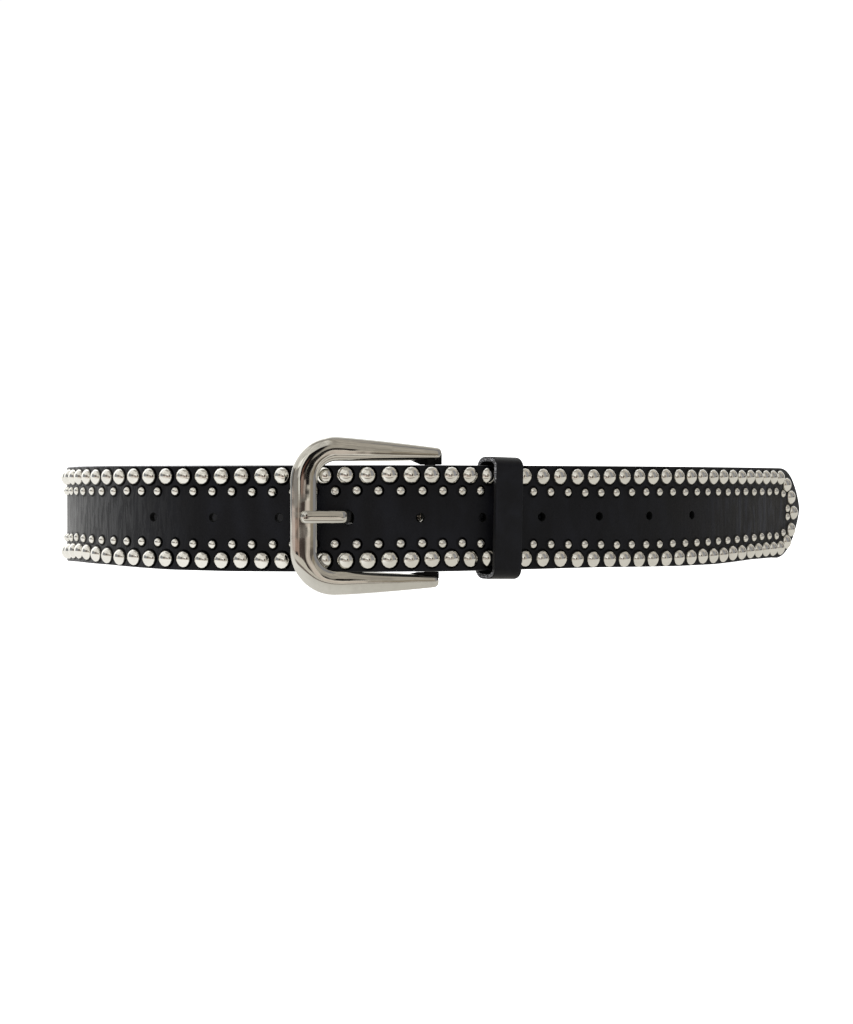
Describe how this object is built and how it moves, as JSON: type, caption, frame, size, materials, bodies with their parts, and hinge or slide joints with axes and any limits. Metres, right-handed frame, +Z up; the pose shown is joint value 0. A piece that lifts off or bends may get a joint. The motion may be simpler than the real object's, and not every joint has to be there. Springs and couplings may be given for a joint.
{
  "type": "studded belt",
  "caption": "Fastened leather belt standing on its edge as a loop, with studded edges, punched holes, a horseshoe buckle with prong, and a leather keeper.",
  "frame": {"origin": "middle of the bounding box at the floor, on which the belt stands on its lower edge", "axes": "+Z up across the strap's width, +X to the right in the picture, towards the tip, and +Y away from the camera, so the buckle faces -Y"},
  "size_m": [0.3104, 0.2626, 0.0573],
  "materials": {
    "leather": "satin black with a fine grain",
    "nickel": "polished nickel plate"
  },
  "bodies": {
    "root": {"strap": "leather", "keeper": "leather", "buckle_frame": "nickel", "prong": "nickel", "fold_rivet_upper": "nickel", "fold_rivet_lower": "nickel"}
  },
  "joints": []
}
